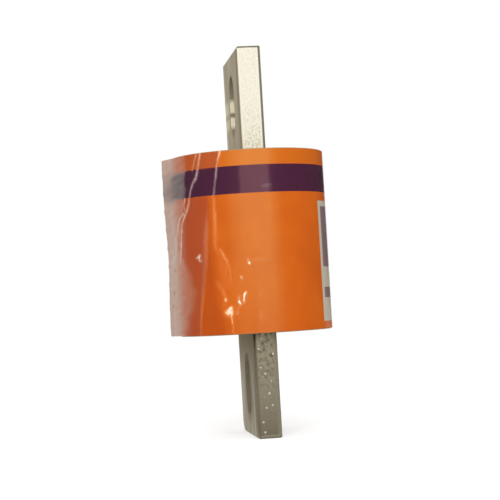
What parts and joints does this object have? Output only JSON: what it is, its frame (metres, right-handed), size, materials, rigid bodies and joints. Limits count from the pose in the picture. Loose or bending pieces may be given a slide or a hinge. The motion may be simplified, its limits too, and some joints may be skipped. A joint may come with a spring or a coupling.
{
  "type": "bolt-on fuse",
  "caption": "Blade fuse with a round insulating body and a slotted flat blade at each end, bolted across a busbar gap to break the circuit on overload.",
  "frame": {"origin": "centre of the fuse: on the body's axis, midway between the two bolt slots and in the middle of the blades' thickness", "axes": "+Z along the fuse towards the upper blade, +X along the blades' width, +Y square to the blades' wide faces; the label's framed panel faces -Y"},
  "size_m": [0.0634, 0.0671, 0.1578],
  "materials": {
    "tube_laminate": "sanded glass-melamine laminate",
    "printed_label": "orange printed vinyl with a dark purple band and a light-framed panel",
    "clear_film": "thin clear film, creased and slightly hazy",
    "end_block_brass": "turned, dull",
    "tinned_copper": "tin-plated copper bar, lightly mottled",
    "pin_steel": "plain drawn steel",
    "element_silver": "bright rolled silver strip",
    "quartz_sand": "packed quartz sand"
  },
  "bodies": {
    "root": {"tube": "tube_laminate", "label": "printed_label", "label_film": "clear_film", "upper_end_block": "end_block_brass", "lower_end_block": "end_block_brass", "upper_blade": "tinned_copper", "lower_blade": "tinned_copper", "upper_pin_1": "pin_steel", "upper_pin_2": "pin_steel", "upper_pin_3": "pin_steel", "upper_pin_4": "pin_steel", "upper_pin_5": "pin_steel", "upper_pin_6": "pin_steel", "lower_pin_1": "pin_steel", "lower_pin_2": "pin_steel", "lower_pin_3": "pin_steel", "lower_pin_4": "pin_steel", "lower_pin_5": "pin_steel", "lower_pin_6": "pin_steel", "element_1": "element_silver", "element_2": "element_silver", "element_3": "element_silver", "element_4": "element_silver", "element_5": "element_silver", "element_6": "element_silver", "quartz_filler": "quartz_sand", "filler_plug": "end_block_brass"}
  },
  "joints": []
}
